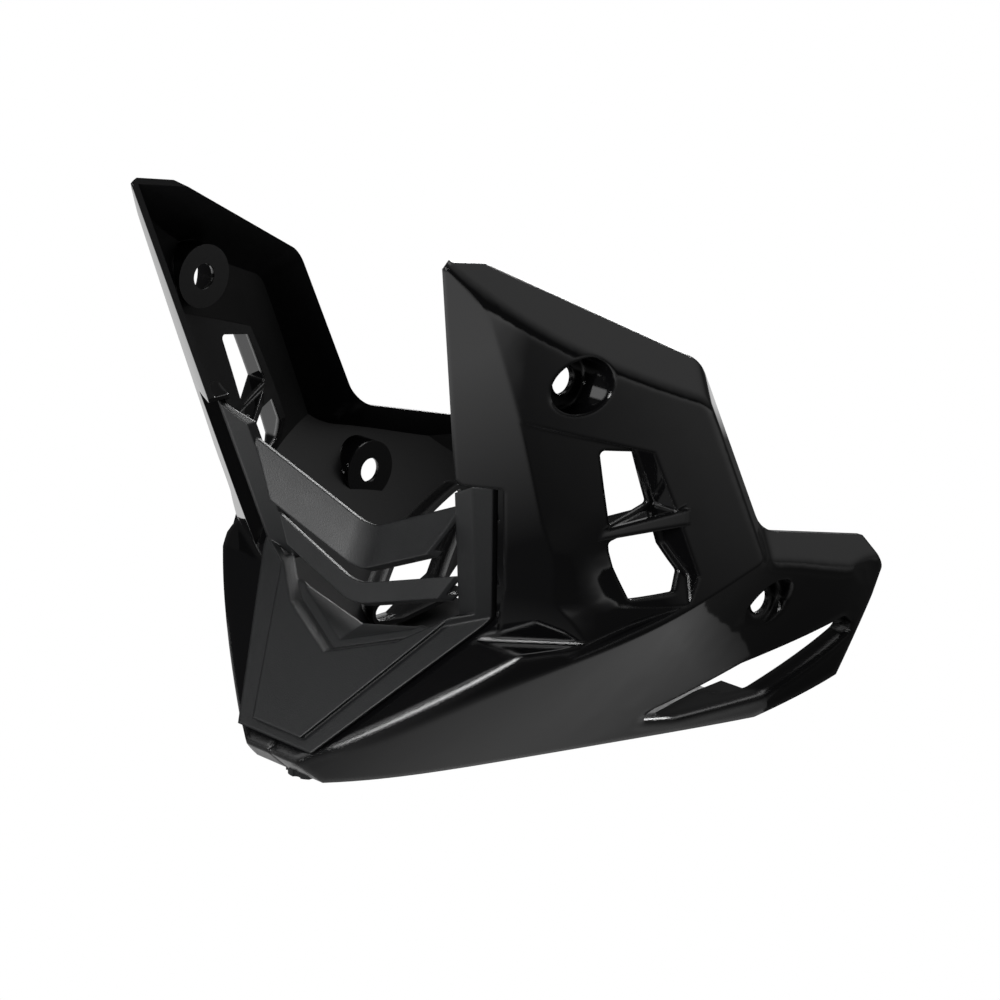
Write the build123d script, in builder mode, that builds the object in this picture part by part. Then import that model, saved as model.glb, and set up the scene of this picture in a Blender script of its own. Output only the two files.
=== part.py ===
"""Motorcycle belly pan: two moulded side panels, a front grille and the floor joint screws."""
import os

from build123d import *

# Overall frame: centre plane at X = 0, forward is -Y, the lowest point is at Z = 0
pan_length = 302.0
wall = 2.6
front_wall = 3.4
screw_head_height = 5.0
clearance = 0.3

# Hull of one panel, at stations behind the prow:
# (distance, half width of floor, half width at chine, chine height, half width at top)
hull_top = 310.0
hull_stations = [
    (0.0, 14.0, 24.0, 24.0, 108.0),
    (45.0, 47.0, 84.0, 46.0, 152.0),
    (86.0, 66.0, 128.0, 73.0, 166.0),
    (140.0, 88.0, 161.0, 98.0, 169.0),
    (190.0, 108.0, 172.0, 116.0, 168.0),
    (240.0, 126.0, 166.0, 101.0, 162.0),
    (304.0, 140.0, 152.0, 76.0, 146.0),
]

# Side outline of one panel, as distance behind the prow and height above the floor
chin_height = 12.0
tip_height = 22.0
seat_foot = (6.0, 20.0)
waist = (72.0, 84.0)
nose_front = (14.0, 284.0)
nose = (22.0, 293.0)
top_corner = (153.0, 218.0)
tail_corner = (197.0, 120.0)
tail_end = (290.0, 92.0)
tail_tip = (302.0, 62.0)
tail_bottom = (286.0, 20.0)
floor_end = 230.0
top_corner_radius = 24.0
tail_corner_radius = 30.0

# Bent border along the top, rear and tail: radius of its bend, half widths of its free edge at the corners
bend_radius = 8.0
nose_half = 106.0
top_half = 148.0
tail_half = 152.0
end_half = 143.0
tip_half = 141.0
bottom_half = 133.0

# Front flange: its opening, sweep and seat for the grille's arm, and the strip and ledge beside it
opening_chin = (12.0, 34.0)
opening_waist = (77.0, 86.0)
opening_arm = (93.5, 166.0)
opening_bend = (91.0, 170.0)
opening_nose = (115.5, 302.0)
flange_sweep = 0.5
arm_recess = 9.4
recess_outline = [(40.0, 62.0), (40.0, 167.0), (112.0, 167.0), (100.0, 112.0), (92.0, 88.0), (84.0, 62.0)]
strip_top = (117.6, 20.0, 273.0)
strip_inner = (105.5, 48.4, 170.6)
strip_outer = (131.0, 67.5, 155.0)
ledge_inner = (84.0, 65.2, 77.4)
ledge_outer = (122.7, 66.0, 78.1)
ledge_back = (112.0, 83.4, 80.5)

# Vent scoop behind the strip, as distance behind the prow and height
scoop_depth = 17.0
scoop_rise = 30.0
scoop_start = 65.0
scoop_run = 55.0
scoop_front = (20.0, 110.0)
scoop_top_front = (20.0, 216.0)
scoop_top_rear = (112.0, 182.0)
scoop_upper_rear = (126.0, 150.0)
scoop_lower_rear = (140.0, 113.0)
scoop_heel = (136.0, 100.0)
scoop_middle = (110.0, 89.0)
scoop_toe = (82.0, 75.0)
scoop_step = (73.0, 86.0)

# Vent windows in the scoop's floor and the louvre bar between them
upper_window = [(90.0, 185.0), (101.0, 143.0), (123.0, 151.0), (112.0, 180.0)]
lower_window = [(102.0, 134.0), (127.0, 141.0), (137.0, 114.0), (131.0, 105.0), (109.0, 104.0)]
window_radius = 2.0
bar_tip = (131.7, 93.0, 135.1)
bar_rear = (163.0, 131.0, 147.0)
bar_height = 9.0
bar_depth = 12.0

# Mount pockets: distance behind the prow, height and half width of the seat
mount_radius = 7.0
pocket_radius = 14.5
upper_mount = (73.0, 222.0)
upper_seat = 132.0
lower_mount = (203.0, 80.0)
lower_seat = 147.0

# Long slot low in the belly, with a rim turned in around it
slot_outline = [(150.0, 14.0), (205.0, 41.0), (268.0, 55.0), (281.0, 45.0), (232.0, 14.0), (182.0, 9.0)]
slot_radius = 5.0
slot_rim = 12.0
slot_root = 96.0

# Floor joints: lapped tabs of the two panels with a screw through each
joint_distances = [28.0, 196.0]
tab_half_length = 14.0
tab_reach = 13.0
tab_root = 22.0
shank_radius = 4.0
shank_end = 2.0
head_radius = 14.0
lobe_radius = 3.0
lobe_count = 9
nut_flats = 16.0
nut_height = 6.0

# Front grille: frame on the flanges, return facets of its arms, V-shaped blades and shield
grille_wall = 3.0
frame_chin = (27.5, 20.0)
frame_waist = (84.0, 87.0)
frame_top = (102.3, 165.0)
frame_radius = 18.0
arm_low = (77.2, 90.0)
arm_high = (92.6, 164.4)
return_in = 17.5
return_back = 3.7
return_depth = 6.0
return_slant = 0.5
crease_centre = 57.0
crease_bend = (40.0, 70.0)
crease_end = (63.0, 85.0)
shield_chin = (18.0, 25.0)
shield_raise = 2.5
shelf_slope = 0.27
shelf_end = 64.0
upper_blade_run = (71.4, -9.9, 31.3)
lower_blade_run = (66.0, 7.0, 19.5)
blade_bend = 10.0
blade_bend_steps = 3
upper_blade = [(69.8, 115.7), (66.9, 106.7), (61.1, 94.7), (67.0, 91.5), (68.0, 94.0), (64.8, 95.8),
               (69.6, 106.0), (72.4, 115.0)]
lower_blade = [(58.9, 88.2), (56.6, 77.4), (62.0, 74.5), (63.0, 76.8), (59.6, 78.8), (61.6, 87.6)]

# Snap hooks behind the grille's arms and their slots in the flanges, as half width and height
hook_spots = [(94.7, 150.0), (86.3, 112.0)]
hook_width = 2.4
hook_height = 8.0
hook_reach = 9.0
hook_barb = 1.0

prow_y = -pan_length / 2
floor_z = screw_head_height
side_view = Plane((0, prow_y, floor_z), x_dir=(0, 1, 0), z_dir=(1, 0, 0))
front_view = Plane((0, prow_y, floor_z), x_dir=(1, 0, 0), z_dir=(0, -1, 0))
reach = 400.0


def place(half, distance, height):
    """Point of the left half, given its half width, distance behind the prow and height."""
    return Vector(half, prow_y + distance, floor_z + height)


def on_face(face, half, height):
    """Point of a plane at a half width and height."""
    point, normal = place(half, 0, height), face.z_dir
    return point + Vector(0, normal.dot(face.origin - point) / normal.Y, 0)


def station_plane(distance):
    """Upright plane across the pan at a distance behind the prow."""
    return Plane(place(0, distance, 0), x_dir=(1, 0, 0), z_dir=(0, -1, 0))


def hull(inset, recess=0.0):
    """Left half of the hull, inset from the outer skin; a recess sets its side in above the chine."""
    with BuildPart() as body:
        for distance, floor_half, chine_half, chine_height, side_half in hull_stations:
            climb = scoop_rise / (hull_top - chine_height)
            depth = recess * min(max(distance - scoop_start, 0) / scoop_run, 1)
            ramp_half = chine_half + (side_half - chine_half) * climb - depth
            with BuildSketch(station_plane(distance + inset / 2)):
                with BuildLine():
                    Polyline(
                        (-2 * reach, 0),
                        (floor_half, 0),
                        (chine_half, chine_height),
                        (ramp_half, chine_height + scoop_rise),
                        (side_half - depth, hull_top),
                        (-2 * reach, hull_top),
                        close=True,
                    )
                make_face()
                if inset:
                    offset(amount=-inset, kind=Kind.INTERSECTION)
        loft()
    return body.part


def border_plane(start, end, depth):
    """Plane of the bent border through two points of its free edge, turned out, moved in by a depth."""
    along = (end - start).normalized()
    inward = Vector(0, along.Z, -along.Y).normalized()
    outward = (Vector(1, 0, 0) + inward).cross(along).normalized()
    return Plane(start - outward * depth, z_dir=outward)


def border_block(depth):
    """Block inside the bent border's faces, which are moved in by a depth and rounded at the corners."""
    nose_edge = place(nose_half, *nose)
    top_edge = place(top_half, *top_corner)
    corner_edge = place(tail_half, *tail_corner)
    end_edge = place(end_half, *tail_end)
    tip_edge = place(tip_half, *tail_tip)
    bottom_edge = place(bottom_half, *tail_bottom)
    rear_face = border_plane(top_edge, corner_edge, depth)
    tail_face = border_plane(corner_edge, end_edge, depth)
    mitre = Plane(corner_edge, z_dir=rear_face.z_dir - tail_face.z_dir)
    with BuildPart() as upper:
        Box(2 * reach, 2 * reach, 2 * reach)
        split(bisect_by=mitre, keep=Keep.BOTTOM)
        split(bisect_by=border_plane(nose_edge, top_edge, depth), keep=Keep.BOTTOM)
        split(bisect_by=rear_face, keep=Keep.BOTTOM)
        fillet(upper.edges().sort_by_distance(top_edge)[0], top_corner_radius - depth)
    with BuildPart() as block:
        Box(2 * reach, 2 * reach, 2 * reach)
        split(bisect_by=mitre, keep=Keep.TOP)
        split(bisect_by=tail_face, keep=Keep.BOTTOM)
        split(bisect_by=border_plane(tip_edge, bottom_edge, depth), keep=Keep.BOTTOM)
        add(upper.part)
        fillet(block.edges().sort_by_distance(corner_edge)[0], tail_corner_radius + depth)
    return block.part


def side_prism(points, grow=0.0, radius=0.0, root=0.0):
    """Side view outline, rounded and grown, run straight out from a root through the left panel."""
    with BuildPart() as prism:
        with BuildSketch(side_view.offset(root)) as region:
            with BuildLine():
                Polyline(*points, close=True)
            make_face()
            if radius:
                fillet(region.vertices(), radius)
            if grow:
                offset(amount=grow, kind=Kind.INTERSECTION)
        extrude(amount=reach)
    return prism.part


def front_space(upper, depth):
    """Space in front of the prow's lower face and an upper face, both moved in by a depth."""
    with BuildPart() as space:
        Box(2 * reach, 2 * reach, 2 * reach)
        split(bisect_by=lower_face.offset(-depth), keep=Keep.TOP)
        split(bisect_by=upper.offset(-depth), keep=Keep.TOP)
    return space.part


def arm_seat(depth):
    """Space in front of the seat of the grille's arm, moved into the panel by a depth."""
    with BuildPart() as space:
        with BuildSketch(front_view):
            with BuildLine():
                Polyline(*recess_outline, close=True)
            make_face()
            if depth:
                offset(amount=depth, kind=Kind.INTERSECTION)
        extrude(amount=reach, both=True)
        add(front_space(arm_face, depth), mode=Mode.INTERSECT)
    return space.part


def scoop(grow):
    """Material taken out by the vent scoop, grown into the panel by a skin thickness."""
    with BuildPart() as pocket:
        add(side_prism(
            [scoop_front, scoop_top_front, scoop_top_rear, scoop_upper_rear, scoop_lower_rear,
             scoop_heel, scoop_middle, scoop_toe, scoop_step],
            grow,
        ))
        add(hull(grow, scoop_depth), mode=Mode.SUBTRACT)
    return pocket.part


def strip_cut(depth):
    """Space in front of the strip and above the ledge, moved into the panel by a depth."""
    inner, outer_end, top = place(*strip_inner), place(*strip_outer), place(*strip_top)
    facing = (outer_end - inner).cross(top - inner).normalized()
    strip = Plane(inner - facing * depth, z_dir=facing)
    left, right, back = place(*ledge_inner), place(*ledge_outer), place(*ledge_back)
    lifting = (right - left).cross(back - left).normalized()
    ledge = Plane(left - lifting * depth, z_dir=lifting)
    with BuildPart() as space:
        with Locations(place(0, 0, 0)):
            Box(reach, reach, 2 * reach, align=(Align.MIN, Align.CENTER, Align.CENTER))
        split(bisect_by=strip, keep=Keep.TOP)
        split(bisect_by=ledge, keep=Keep.TOP)
    return space.part


# Faces of the prow: the lower face, the swept upper face through the strip's ridge, and the arm's seat in it
lower_run = place(0, *waist) - place(0, *seat_foot)
lower_face = Plane(place(0, *seat_foot), z_dir=Vector(1, 0, 0).cross(lower_run))
ridge_run = place(*strip_top) - place(*strip_inner)
upper_face = Plane(place(*strip_inner), z_dir=Vector(1, flange_sweep, 0).cross(ridge_run))
arm_face = upper_face.offset(-arm_recess)

# Outer form of the left panel
with BuildPart() as outer:
    add(hull(0))
    add(border_block(0), mode=Mode.INTERSECT)
    bends = outer.edges(Select.NEW).filter_by(GeomType.BSPLINE)
    fillet(bends.filter_by_position(Axis.Z, floor_z + tail_tip[1], floor_z + nose[1]), bend_radius)
    add(front_space(upper_face, 0), mode=Mode.SUBTRACT)
    with BuildSketch(side_view) as outline:
        with BuildLine():
            Polyline(
                (0, chin_height),
                (0, nose_front[1]),
                nose_front,
                nose,
                top_corner,
                tail_corner,
                tail_end,
                tail_tip,
                tail_bottom,
                (floor_end, 0),
                (chin_height, 0),
                close=True,
            )
        make_face()
        fillet(outline.vertices().sort_by_distance(top_corner)[0], top_corner_radius)
        fillet(outline.vertices().sort_by_distance(tail_corner)[0], tail_corner_radius)
    extrude(amount=reach, mode=Mode.INTERSECT)
    add(scoop(0), mode=Mode.SUBTRACT)
    add(strip_cut(0), mode=Mode.SUBTRACT)
    add(arm_seat(0), mode=Mode.SUBTRACT)
    for centre, seat in [(upper_mount, upper_seat), (lower_mount, lower_seat)]:
        with BuildSketch(side_view.offset(seat)):
            with Locations(centre):
                Circle(pocket_radius)
        extrude(amount=reach, mode=Mode.SUBTRACT)

# Inner form: one wall inside the skin, behind the front flange, around the pockets and the slot
with BuildPart() as cavity:
    add(hull(wall))
    add(border_block(wall), mode=Mode.INTERSECT)
    add(front_space(upper_face, front_wall), mode=Mode.SUBTRACT)
    with BuildSketch(side_view):
        with BuildLine():
            Polyline(
                (chin_height + front_wall, -reach),
                (chin_height + front_wall, 0),
                (front_wall, chin_height),
                (front_wall, reach),
                (reach, reach),
                (reach, -reach),
                close=True,
            )
        make_face()
    extrude(amount=reach, both=True, mode=Mode.INTERSECT)
    add(scoop(wall), mode=Mode.SUBTRACT)
    add(strip_cut(wall), mode=Mode.SUBTRACT)
    add(arm_seat(wall), mode=Mode.SUBTRACT)
    for centre, seat in [(upper_mount, upper_seat), (lower_mount, lower_seat)]:
        with BuildSketch(side_view.offset(seat - wall)):
            with Locations(centre):
                Circle(pocket_radius + wall)
        extrude(amount=reach, mode=Mode.SUBTRACT)
    with BuildPart(mode=Mode.SUBTRACT):
        add(side_prism(slot_outline, wall, slot_radius, slot_root))
        add(hull(slot_rim), mode=Mode.SUBTRACT)

# Louvre bar: a fin from the scoop's floor up to the skin, between the two windows
tip, rear = place(*bar_tip), place(*bar_rear)
bar_run = Vector(rear.X - tip.X, rear.Y - tip.Y, 0).normalized()
bar_facing = bar_run.cross(Vector(0, 0, 1))
with BuildPart() as bar:
    add(side_prism([
        (bar_tip[1], bar_tip[2]),
        (bar_rear[1], bar_rear[2] - bar_height / 2),
        (bar_rear[1], bar_rear[2] + bar_height / 2),
        (bar_tip[1], bar_tip[2] + bar_height / 2),
    ]))
    split(bisect_by=Plane(tip, z_dir=bar_facing), keep=Keep.BOTTOM)
    split(bisect_by=Plane(tip - bar_facing * bar_depth, z_dir=bar_facing), keep=Keep.TOP)

# Moulded panel, the same on both sides up to the lapped tabs of the floor joints
with BuildPart() as panel:
    add(outer.part)
    add(cavity.part, mode=Mode.SUBTRACT)
    add(side_prism(upper_window, 0, window_radius), mode=Mode.SUBTRACT)
    add(side_prism(lower_window, 0, window_radius), mode=Mode.SUBTRACT)
    add(side_prism(slot_outline, 0, slot_radius), mode=Mode.SUBTRACT)
    add(bar.part)
    with BuildSketch(front_view):
        with BuildLine():
            Polyline(
                (0, opening_chin[1]),
                opening_chin,
                opening_waist,
                opening_arm,
                opening_bend,
                opening_nose,
                (0, opening_nose[1]),
                close=True,
            )
        make_face()
    extrude(amount=-reach, mode=Mode.SUBTRACT)
    with BuildSketch(side_view):
        with Locations(upper_mount, lower_mount):
            Circle(mount_radius)
    extrude(amount=reach, mode=Mode.SUBTRACT)
    for half, height in hook_spots:
        with Locations(on_face(arm_face, half, height)):
            Box(
                hook_width + 2 * hook_barb + 2 * clearance, 4 * front_wall, hook_height + 2 * clearance,
                mode=Mode.SUBTRACT,
            )

# Left panel: its floor is notched for the right panel's tabs, and its own tabs lie over them
with BuildPart() as left_panel:
    add(panel.part)
    for distance in joint_distances:
        with Locations(place(0, distance, 0)):
            Box(
                2 * (tab_reach + clearance), 2 * (tab_half_length + clearance), 2 * wall, mode=Mode.SUBTRACT
            )
        with Locations(place(-tab_reach, distance, wall)):
            Box(
                tab_reach + tab_root, 2 * tab_half_length, wall,
                align=(Align.MIN, Align.CENTER, Align.MIN),
            )
        with Locations(place(0, distance, 0)):
            Cylinder(shank_radius + clearance, 6 * wall, mode=Mode.SUBTRACT)

# Right panel: the mirror image, with its tabs level with the floor
with BuildPart() as right_twin:
    add(panel.part)
    for distance in joint_distances:
        with Locations(place(-tab_reach, distance, 0)):
            Box(
                tab_reach + tab_root, 2 * tab_half_length, wall,
                align=(Align.MIN, Align.CENTER, Align.MIN),
            )
        with Locations(place(0, distance, 0)):
            Cylinder(shank_radius + clearance, 6 * wall, mode=Mode.SUBTRACT)
with BuildPart() as right_panel:
    mirror(right_twin.part, about=Plane.YZ)

# Joint screws: lobed heads under the floor, shanks up through both tabs
with BuildPart() as joint_screws:
    for distance in joint_distances:
        with BuildSketch(Plane(place(0, distance, 0))):
            Circle(head_radius)
            with PolarLocations(head_radius + lobe_radius / 2, lobe_count):
                Circle(lobe_radius, mode=Mode.SUBTRACT)
        extrude(amount=-screw_head_height)
        with BuildSketch(Plane(place(0, distance, 0))):
            Circle(shank_radius)
        extrude(amount=2 * wall + nut_height + shank_end)

# Joint nuts: hexagons on the upper tabs
with BuildPart() as joint_nuts:
    for distance in joint_distances:
        with BuildSketch(Plane(place(0, distance, 2 * wall))):
            RegularPolygon(nut_flats / 2, 6, major_radius=False)
            Circle(shank_radius + clearance, mode=Mode.SUBTRACT)
        extrude(amount=nut_height)

# Left half of the grille: frame band lying on the panel's lower face and the arm's seat
with BuildPart() as half_grille:
    with BuildSketch(front_view) as outline:
        with BuildLine():
            Polyline(
                (0, frame_chin[1]),
                frame_chin,
                frame_waist,
                frame_top,
                arm_high,
                arm_low,
                crease_end,
                crease_bend,
                (0, crease_centre),
                close=True,
            )
        make_face()
        fillet(outline.vertices().sort_by_distance(frame_waist)[0], frame_radius)
    extrude(amount=reach, both=True)
    add(front_space(arm_face, 0), mode=Mode.INTERSECT)
    add(front_space(arm_face, -grille_wall), mode=Mode.SUBTRACT)

    # Raised plate of the shield, inside the border
    with BuildPart() as plate:
        with BuildSketch(front_view):
            with BuildLine():
                Polyline(
                    (0, shield_chin[1]),
                    shield_chin,
                    crease_end,
                    crease_bend,
                    (0, crease_centre),
                    close=True,
                )
            make_face()
        extrude(amount=reach, both=True)
        split(bisect_by=lower_face.offset(grille_wall + shield_raise), keep=Keep.BOTTOM)
        split(bisect_by=lower_face, keep=Keep.TOP)

    # Shelf running back from the shield's crease
    with BuildPart() as shelf:
        drops = [shelf_slope * (height - tip_height) for height in (crease_centre, crease_bend[1], crease_end[1])]
        with BuildSketch(front_view):
            with BuildLine():
                Polyline(
                    (0, crease_centre - drops[0] - grille_wall),
                    (crease_bend[0], crease_bend[1] - drops[1] - grille_wall),
                    (crease_end[0], crease_end[1] - drops[2] - grille_wall),
                    (crease_end[0], crease_end[1] - drops[2]),
                    (crease_bend[0], crease_bend[1] - drops[1]),
                    (0, crease_centre - drops[0]),
                    close=True,
                )
            make_face()
        extrude(amount=reach / 4, dir=(0, 1, shelf_slope))
        split(bisect_by=lower_face, keep=Keep.BOTTOM)
        split(bisect_by=station_plane(shelf_end), keep=Keep.TOP)

    # Return facet sloping in and back from the arm's ridge
    foot = on_face(arm_face.offset(grille_wall), *arm_low)
    head = on_face(arm_face.offset(grille_wall), *arm_high)
    arm_run = head - foot
    with BuildSketch(Plane(foot, x_dir=(1, 0, return_slant), z_dir=(-return_slant, 0, 1))):
        with BuildLine():
            Polyline(
                (0, 0),
                (-return_in, return_back),
                (-return_in, return_back + return_depth),
                (grille_wall / 3, grille_wall * 0.8),
                close=True,
            )
        make_face()
    extrude(amount=arm_run.length, dir=arm_run.normalized())

    # Blades, curved at the centre plane, run out and up into the return facet and cut off on the slant there
    facet_end = foot + Vector(1 - return_in, return_back, return_slant * (1 - return_in))
    blade_end = Plane(facet_end, z_dir=Vector(1, 1, 0).cross(arm_run))
    with BuildPart() as blades:
        for section, run in [(upper_blade, upper_blade_run), (lower_blade, lower_blade_run)]:
            lean, climb = run[1] / run[0], run[2] / run[0]
            bend = [(blade_bend * i / blade_bend_steps) for i in range(blade_bend_steps + 1)]
            stops = [(x, (x * x / blade_bend + blade_bend) / 2) for x in bend] + [(reach / 4, reach / 4)]
            for (start, rise), (end, next_rise) in zip(stops, stops[1:]):
                with BuildSketch(side_view.offset(start)):
                    with BuildLine():
                        Polyline(*[(y + lean * rise, z + climb * rise) for y, z in section], close=True)
                    make_face()
                extrude(
                    amount=Vector(end - start, lean * (next_rise - rise), climb * (next_rise - rise)).length,
                    dir=Vector(end - start, lean * (next_rise - rise), climb * (next_rise - rise)),
                )
        split(bisect_by=blade_end, keep=Keep.BOTTOM)

    # Snap hooks behind the arms
    for half, height in hook_spots:
        seat_point = on_face(arm_face, half, height)
        with Locations(seat_point - Vector(0, grille_wall / 2, 0)):
            Box(hook_width, hook_reach + grille_wall, hook_height, align=(Align.CENTER, Align.MIN, Align.CENTER))
        with Locations(seat_point + Vector(0, hook_reach, 0)):
            Box(hook_width + 2 * hook_barb, hook_barb, hook_height, align=(Align.CENTER, Align.MIN, Align.CENTER))

with BuildPart() as front_grille:
    add(half_grille.part)
    mirror(about=Plane.YZ)

os.makedirs("parts", exist_ok=True)
for piece, name in [
    (left_panel, "left_panel"),
    (right_panel, "right_panel"),
    (front_grille, "front_grille"),
    (joint_screws, "joint_screws"),
    (joint_nuts, "joint_nuts"),
]:
    piece.part.label = name
    export_step(piece.part, f"parts/{name}.step")
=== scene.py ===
"""Motorcycle belly pan: gloss side panels, a satin front grille and floor joint screws, on white cards."""
import math

import bmesh
import bpy
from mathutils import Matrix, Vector


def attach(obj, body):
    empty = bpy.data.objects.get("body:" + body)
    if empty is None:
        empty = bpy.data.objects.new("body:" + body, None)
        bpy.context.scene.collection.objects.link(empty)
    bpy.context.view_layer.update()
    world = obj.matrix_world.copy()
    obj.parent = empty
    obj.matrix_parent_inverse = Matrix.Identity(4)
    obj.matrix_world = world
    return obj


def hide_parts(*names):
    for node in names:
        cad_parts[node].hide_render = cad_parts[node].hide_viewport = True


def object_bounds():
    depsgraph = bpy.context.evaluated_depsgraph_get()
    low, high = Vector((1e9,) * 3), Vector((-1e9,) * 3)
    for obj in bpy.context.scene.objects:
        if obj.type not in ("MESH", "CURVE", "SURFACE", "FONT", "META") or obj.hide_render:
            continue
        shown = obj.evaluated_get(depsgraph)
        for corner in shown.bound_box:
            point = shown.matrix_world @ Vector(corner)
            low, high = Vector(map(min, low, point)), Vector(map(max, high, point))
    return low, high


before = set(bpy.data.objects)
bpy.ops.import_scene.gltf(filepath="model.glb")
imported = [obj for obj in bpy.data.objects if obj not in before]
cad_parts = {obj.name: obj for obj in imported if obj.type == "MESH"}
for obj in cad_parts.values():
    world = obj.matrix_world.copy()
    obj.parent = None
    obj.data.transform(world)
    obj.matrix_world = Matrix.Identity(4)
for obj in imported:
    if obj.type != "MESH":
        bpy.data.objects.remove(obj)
cad_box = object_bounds()

# Side panels. Each is one injection moulding in black ABS, polished in the tool on the outside and left
# with the tool's satin grain on the inside. They meet at the floor seam, where screws hold their tabs.
weld_distance = 0.00002
crease_angle = math.radians(14)
inward_lean, level_lean = 0.02, 0.9  # share of a face's normal past which it is turned in, or level
floor_inside_height = 0.012


def linear(hex_colour):
    """Linear colour with alpha from an sRGB hex value."""
    channels = [int(hex_colour[i:i + 2], 16) / 255 for i in (0, 2, 4)]
    return [c / 12.92 if c <= 0.04045 else ((c + 0.055) / 1.055) ** 2.4 for c in channels] + [1.0]


def add_node(owner, kind, inputs=(), **settings):
    """Node of a material or world; inputs pair a socket with a value or with another node's output."""
    node = owner.node_tree.nodes.new(kind)
    for name, value in settings.items():
        setattr(node, name, value)
    for socket, source in inputs:
        if hasattr(source, "is_output"):
            owner.node_tree.links.new(source, node.inputs[socket])
        else:
            node.inputs[socket].default_value = source
    return node


def new_material(name):
    """Empty node material and its output node."""
    material = bpy.data.materials.new(name)
    material.use_nodes = True
    material.node_tree.nodes.clear()
    return material, add_node(material, "ShaderNodeOutputMaterial")


def moulded_copy(node, name):
    """Copy of a CAD node on the root body, welded and smooth except along its creases."""
    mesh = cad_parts[node].data.copy()
    mesh.materials.clear()
    bm = bmesh.new()
    bm.from_mesh(mesh)
    bmesh.ops.remove_doubles(bm, verts=bm.verts, dist=weld_distance)
    for face in bm.faces:
        face.smooth = True
    for edge in bm.edges:
        edge.smooth = not edge.is_manifold or edge.calc_face_angle(0) < crease_angle
    bm.to_mesh(mesh)
    bm.free()
    piece = bpy.data.objects.new(name, mesh)
    bpy.context.scene.collection.objects.link(piece)
    weigh = piece.modifiers.new("large faces stay even", "WEIGHTED_NORMAL")
    weigh.mode = "FACE_AREA"
    weigh.keep_sharp = True
    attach(piece, "root")
    return piece


# Polished ABS: deep black under a clear mirror gloss, uneven as a moulding is. The Bevel node shades the
# radii where its faces meet, which are widest along the belly.
gloss_black = "0A0A0B"
abs_ior = 1.53
belly_edge_radius, side_edge_radius = 0.007, 0.003
belly_height, chine_height = 0.06, 0.1
edge_samples = 8
wave_scale = 60.0  # waves of 17 mm, as the plastic shrinks in the tool
wave_strength, wave_depth = 0.03, 0.0005
haze_scale = 25.0  # patches of 40 mm, as the polishing leaves
haze_roughness = (0.05, 0.09)
noise_low, noise_high = 0.3, 0.7

polished_abs, output = new_material("polished black ABS")
coords = add_node(polished_abs, "ShaderNodeTexCoord")
waves = add_node(
    polished_abs,
    "ShaderNodeTexNoise",
    [("Vector", coords.outputs["Object"]), ("Scale", wave_scale), ("Detail", 2.0)],
)
spot = add_node(polished_abs, "ShaderNodeSeparateXYZ", [("Vector", coords.outputs["Object"])])
edge_range = add_node(
    polished_abs,
    "ShaderNodeMapRange",
    [
        ("Value", spot.outputs["Z"]),
        ("From Min", belly_height),
        ("From Max", chine_height),
        ("To Min", belly_edge_radius),
        ("To Max", side_edge_radius),
    ],
)
round_edges = add_node(
    polished_abs, "ShaderNodeBevel", [("Radius", edge_range.outputs["Result"])], samples=edge_samples
)
ripple = add_node(
    polished_abs,
    "ShaderNodeBump",
    [
        ("Height", waves.outputs["Fac"]),
        ("Strength", wave_strength),
        ("Distance", wave_depth),
        ("Normal", round_edges.outputs["Normal"]),
    ],
)
haze = add_node(
    polished_abs,
    "ShaderNodeTexNoise",
    [("Vector", coords.outputs["Object"]), ("Scale", haze_scale), ("Detail", 5.0)],
)
haze_range = add_node(
    polished_abs,
    "ShaderNodeMapRange",
    [
        ("Value", haze.outputs["Fac"]),
        ("From Min", noise_low),
        ("From Max", noise_high),
        ("To Min", haze_roughness[0]),
        ("To Max", haze_roughness[1]),
    ],
)
shader = add_node(
    polished_abs,
    "ShaderNodeBsdfPrincipled",
    [
        ("Base Color", linear(gloss_black)),
        ("Roughness", haze_range.outputs["Result"]),
        ("IOR", abs_ior),
        ("Normal", ripple.outputs["Normal"]),
    ],
)
polished_abs.node_tree.links.new(shader.outputs["BSDF"], output.inputs["Surface"])

# Grained ABS: the unpolished inside of the moulding, softer and slightly greyer
satin_black = "121213"
satin_roughness = 0.34
inside_grain_scale = 900.0  # cells of 1.1 mm: the real grain of 0.1 mm is too fine to show
inside_grain_strength, grain_depth = 0.12, 0.0004

grained_abs, output = new_material("grained black ABS")
coords = add_node(grained_abs, "ShaderNodeTexCoord")
grain = add_node(
    grained_abs,
    "ShaderNodeTexNoise",
    [("Vector", coords.outputs["Object"]), ("Scale", inside_grain_scale), ("Detail", 2.0)],
)
grain_bump = add_node(
    grained_abs,
    "ShaderNodeBump",
    [("Height", grain.outputs["Fac"]), ("Strength", inside_grain_strength), ("Distance", grain_depth)],
)
shader = add_node(
    grained_abs,
    "ShaderNodeBsdfPrincipled",
    [
        ("Base Color", linear(satin_black)),
        ("Roughness", satin_roughness),
        ("IOR", abs_ior),
        ("Normal", grain_bump.outputs["Normal"]),
    ],
)
grained_abs.node_tree.links.new(shader.outputs["BSDF"], output.inputs["Surface"])

# The faces turned towards the centre plane and the top of the floor are grained; the rest is polished
for node, side in (("left_panel", 1), ("right_panel", -1)):
    panel = moulded_copy(node, node + "_moulding")
    panel.data.materials.append(polished_abs)
    panel.data.materials.append(grained_abs)
    for face in panel.data.polygons:
        turned_in = face.normal.x * side < -inward_lean and face.normal.z > -level_lean
        floor_top = face.normal.z > level_lean and face.center.z < floor_inside_height
        face.material_index = 1 if turned_in or floor_top else 0
    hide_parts(node)

# Front grille. One moulding in black ABS with a fine spark-eroded grain all over, so it stays
# satin beside the panels; it snaps into the panels' flanges from the front.
grille_grey = "151617"
grille_edge_radius = 0.0016
grille_grain_scale = 1400.0  # cells of 0.7 mm: the real grain of 0.05 mm is too fine to show
grille_grain_strength = 0.25
mottle_scale = 40.0  # patches of 25 mm, where the plastic filled the tool unevenly
mottle_roughness = (0.42, 0.5)

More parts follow.
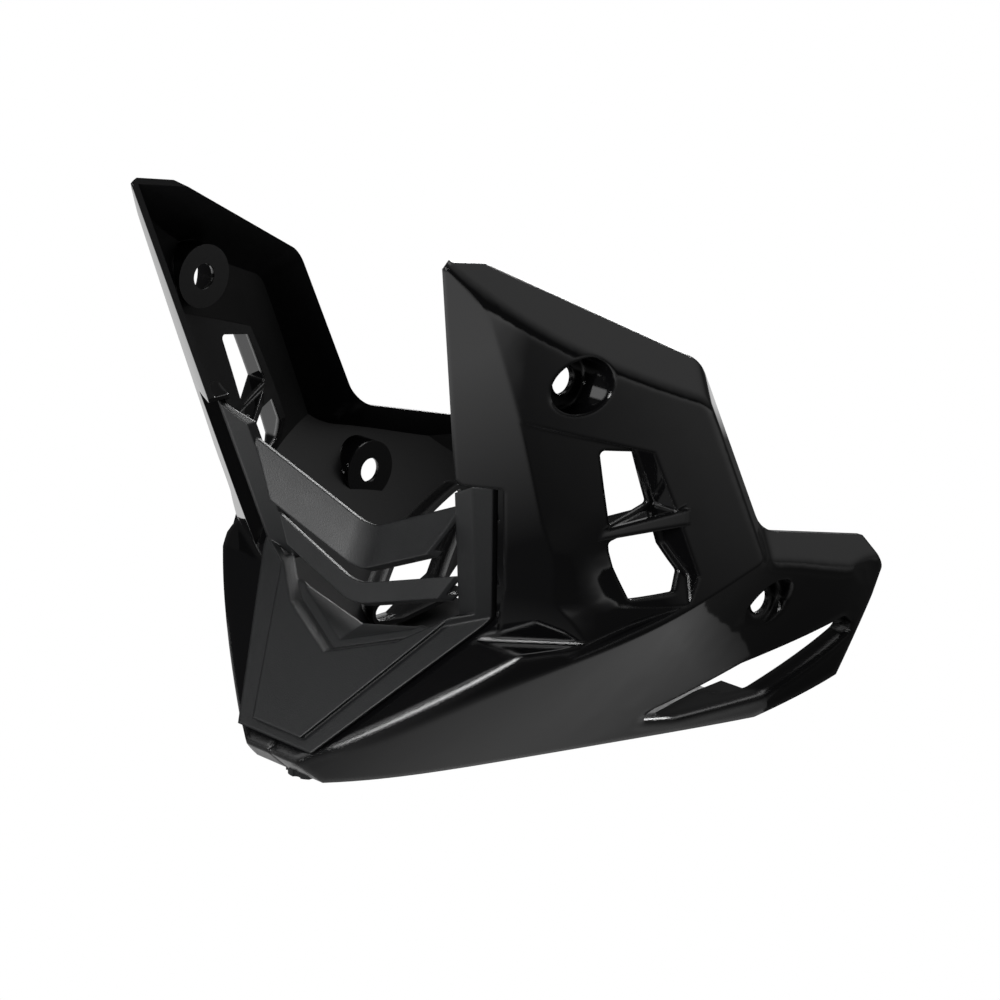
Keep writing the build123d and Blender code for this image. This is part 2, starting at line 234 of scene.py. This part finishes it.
# Textured ABS: dark grey with a broad, soft sheen and no mirror image, slightly rounded at its edges
textured_abs, output = new_material("textured black ABS")
coords = add_node(textured_abs, "ShaderNodeTexCoord")
grain = add_node(
    textured_abs,
    "ShaderNodeTexNoise",
    [("Vector", coords.outputs["Object"]), ("Scale", grille_grain_scale), ("Detail", 3.0)],
)
round_edges = add_node(textured_abs, "ShaderNodeBevel", [("Radius", grille_edge_radius)], samples=edge_samples)
grain_bump = add_node(
    textured_abs,
    "ShaderNodeBump",
    [
        ("Height", grain.outputs["Fac"]),
        ("Strength", grille_grain_strength),
        ("Distance", grain_depth),
        ("Normal", round_edges.outputs["Normal"]),
    ],
)
mottle = add_node(
    textured_abs,
    "ShaderNodeTexNoise",
    [("Vector", coords.outputs["Object"]), ("Scale", mottle_scale), ("Detail", 4.0)],
)
sheen_range = add_node(
    textured_abs,
    "ShaderNodeMapRange",
    [
        ("Value", mottle.outputs["Fac"]),
        ("From Min", noise_low),
        ("From Max", noise_high),
        ("To Min", mottle_roughness[0]),
        ("To Max", mottle_roughness[1]),
    ],
)
shader = add_node(
    textured_abs,
    "ShaderNodeBsdfPrincipled",
    [
        ("Base Color", linear(grille_grey)),
        ("Roughness", sheen_range.outputs["Result"]),
        ("IOR", abs_ior),
        ("Normal", grain_bump.outputs["Normal"]),
    ],
)
textured_abs.node_tree.links.new(shader.outputs["BSDF"], output.inputs["Surface"])

grille = moulded_copy("front_grille", "front_grille_moulding")
grille.data.materials.append(textured_abs)
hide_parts("front_grille")

# Floor joint screws and nuts. Steel with a black phosphate coat: lobed heads under the floor,
# hexagon nuts inside on the lapped tabs.
phosphate_black = "161617"
crystal_scale = 700.0  # cells of 1.4 mm: the real crystals of 0.01 mm are too fine to show
crystal_roughness = (0.38, 0.55)
steel_share = 0.3

# Phosphated steel: a matt black salt coat with a little of the metal's shine through it
phosphate, output = new_material("black phosphated steel")
coords = add_node(phosphate, "ShaderNodeTexCoord")
crystals = add_node(
    phosphate,
    "ShaderNodeTexNoise",
    [("Vector", coords.outputs["Object"]), ("Scale", crystal_scale), ("Detail", 4.0)],
)
crystal_range = add_node(
    phosphate,
    "ShaderNodeMapRange",
    [
        ("Value", crystals.outputs["Fac"]),
        ("From Min", noise_low),
        ("From Max", noise_high),
        ("To Min", crystal_roughness[0]),
        ("To Max", crystal_roughness[1]),
    ],
)
shader = add_node(
    phosphate,
    "ShaderNodeBsdfPrincipled",
    [
        ("Base Color", linear(phosphate_black)),
        ("Roughness", crystal_range.outputs["Result"]),
        ("Metallic", steel_share),
    ],
)
phosphate.node_tree.links.new(shader.outputs["BSDF"], output.inputs["Surface"])

for node in ("joint_screws", "joint_nuts"):
    piece = moulded_copy(node, node + "_coated")
    piece.data.materials.append(phosphate)
    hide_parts(node)

# Studio. White cards lie under the pan and at its rear sides, and a white wall stands at the back. The
# camera sees them as plain white. In the gloss they are graded: the wall as the dark studio around the pan
# was, the cards with painted pools of light and a painted shadow of the pan beside it.
paper_white = "FFFFFF"
seen_white = 1.0
card_corners = [(-1.0, -0.45, 1.0, 0.09), (-1.0, 0.09, -0.12, 1.0), (0.2, 0.09, 1.5, 1.5)]
card_drop = 0.0005

card_mesh = bpy.data.meshes.new("card")
bm = bmesh.new()
for left, front, right, back in card_corners:
    sheet = bmesh.ops.create_grid(bm, x_segments=1, y_segments=1, size=0.5)["verts"]
    bmesh.ops.scale(bm, vec=(right - left, back - front, 1), verts=sheet)
    bmesh.ops.translate(bm, vec=((left + right) / 2, (front + back) / 2, -card_drop), verts=sheet)
bm.to_mesh(card_mesh)
bm.free()
card = bpy.data.objects.new("floor_cards", card_mesh)
bpy.context.scene.collection.objects.link(card)

# White card: plain white to the camera. To all other rays it glows with painted light and shade: a dim
# painted shadow beside the pan, and brighter pools of painted light in four zones: under the pan, in front of
# it and out to either side.
card_painted_shade = 0.05
card_painted_light_zones = [  # measure, where the zone is dim, where it is bright, and its strength there
    ("Length", 0.2, 0.15, 0.36),
    ("Y", -0.2, -0.34, 1.0),
    ("X", -0.2, -0.26, 0.8),
    ("X", 0.3, 0.9, 0.6),
]

card_white, output = new_material("white card with painted light and shade")
rays = add_node(card_white, "ShaderNodeLightPath")
coords = add_node(card_white, "ShaderNodeTexCoord")
spot = add_node(card_white, "ShaderNodeSeparateXYZ", [("Vector", coords.outputs["Object"])])
distance = add_node(card_white, "ShaderNodeVectorMath", [(0, coords.outputs["Object"])], operation="LENGTH")
measures = {"X": spot.outputs["X"], "Y": spot.outputs["Y"], "Length": distance.outputs["Value"]}
# The glow to other rays starts at the painted shadow beside the pan and rises to each zone's painted light
shine = card_painted_shade
for along, dim_at, bright_at, strength in card_painted_light_zones:
    zone = add_node(
        card_white,
        "ShaderNodeMapRange",
        [
            ("Value", measures[along]),
            ("From Min", dim_at),
            ("From Max", bright_at),
            ("To Min", card_painted_shade),
            ("To Max", strength),
        ],
    )
    brighter = add_node(
        card_white, "ShaderNodeMath", [(0, zone.outputs["Result"]), (1, shine)], operation="MAXIMUM"
    )
    shine = brighter.outputs["Value"]
level = add_node(
    card_white, "ShaderNodeMix", [(0, rays.outputs["Is Camera Ray"]), (2, shine), (3, seen_white)]
)
glow = add_node(
    card_white, "ShaderNodeEmission", [("Color", linear(paper_white)), ("Strength", level.outputs[0])]
)
card_white.node_tree.links.new(glow.outputs["Emission"], output.inputs["Surface"])
card_mesh.materials.append(card_white)

# White wall: plain white to the camera, and in the gloss a soft glow from the back and above
wall_towards = Vector((0.25, 0.6, 0.8))
wall_edge, wall_middle = 0.55, 0.97
wall_dim, wall_bright = 0.04, 0.4

world = bpy.data.worlds.new("studio")
bpy.context.scene.world = world
world.use_nodes = True
world.node_tree.nodes.clear()
rays = add_node(world, "ShaderNodeLightPath")
coords = add_node(world, "ShaderNodeTexCoord")
facing = add_node(
    world,
    "ShaderNodeVectorMath",
    [(0, coords.outputs["Generated"]), (1, wall_towards)],
    operation="DOT_PRODUCT",
)
falloff = add_node(
    world,
    "ShaderNodeMapRange",
    [
        ("Value", facing.outputs["Value"]),
        ("From Min", wall_edge),
        ("From Max", wall_middle),
        ("To Min", wall_dim),
        ("To Max", wall_bright),
    ],
)
level = add_node(
    world,
    "ShaderNodeMix",
    [(0, rays.outputs["Is Camera Ray"]), (2, falloff.outputs["Result"]), (3, seen_white)],
)
glow = add_node(
    world, "ShaderNodeBackground", [("Color", linear(paper_white)), ("Strength", level.outputs[0])]
)
add_node(world, "ShaderNodeOutputWorld", [("Surface", glow.outputs["Background"])])

# Soft boxes, aimed at the pan's middle: place and size in metres, power in watts
pan_middle = (cad_box[0] + cad_box[1]) / 2
for name, place, size, power in (
    ("back_box", (-0.66, 1.5, 0.78), (0.6, 0.5), 14.0),
    ("top_box", (-0.1, 0.35, 1.3), (1.2, 0.7), 6.0),
    ("front_box", (-0.9, -1.2, 0.9), (0.7, 0.9), 3.5),
    ("edge_box", (0.2, -1.8, 0.65), (0.8, 0.4), 26.0),
):
    lamp = bpy.data.lights.new(name, "AREA")
    lamp.shape = "RECTANGLE"
    lamp.size, lamp.size_y = size
    lamp.energy = power
    box = bpy.data.objects.new(name, lamp)
    box.location = place
    box.rotation_euler = (Vector(place) - pan_middle).to_track_quat("Z", "Y").to_euler()
    bpy.context.scene.collection.objects.link(box)

# Camera: a long lens from the pan's front left, a little above, as the photograph was taken
camera_place = (1.1646, -1.1509, 0.6859)
camera_azimuth, camera_elevation = math.radians(45.04), math.radians(19.21)
sensor_width, focal_length = 36.0, 118.8

lens = bpy.data.cameras.new("camera")
lens.sensor_width = sensor_width
lens.lens = focal_length
camera = bpy.data.objects.new("camera", lens)
camera.location = camera_place
camera.rotation_euler = (math.pi / 2 - camera_elevation, 0, camera_azimuth)
bpy.context.scene.collection.objects.link(camera)
bpy.context.scene.camera = camera
bpy.context.scene.view_settings.view_transform = "Standard"
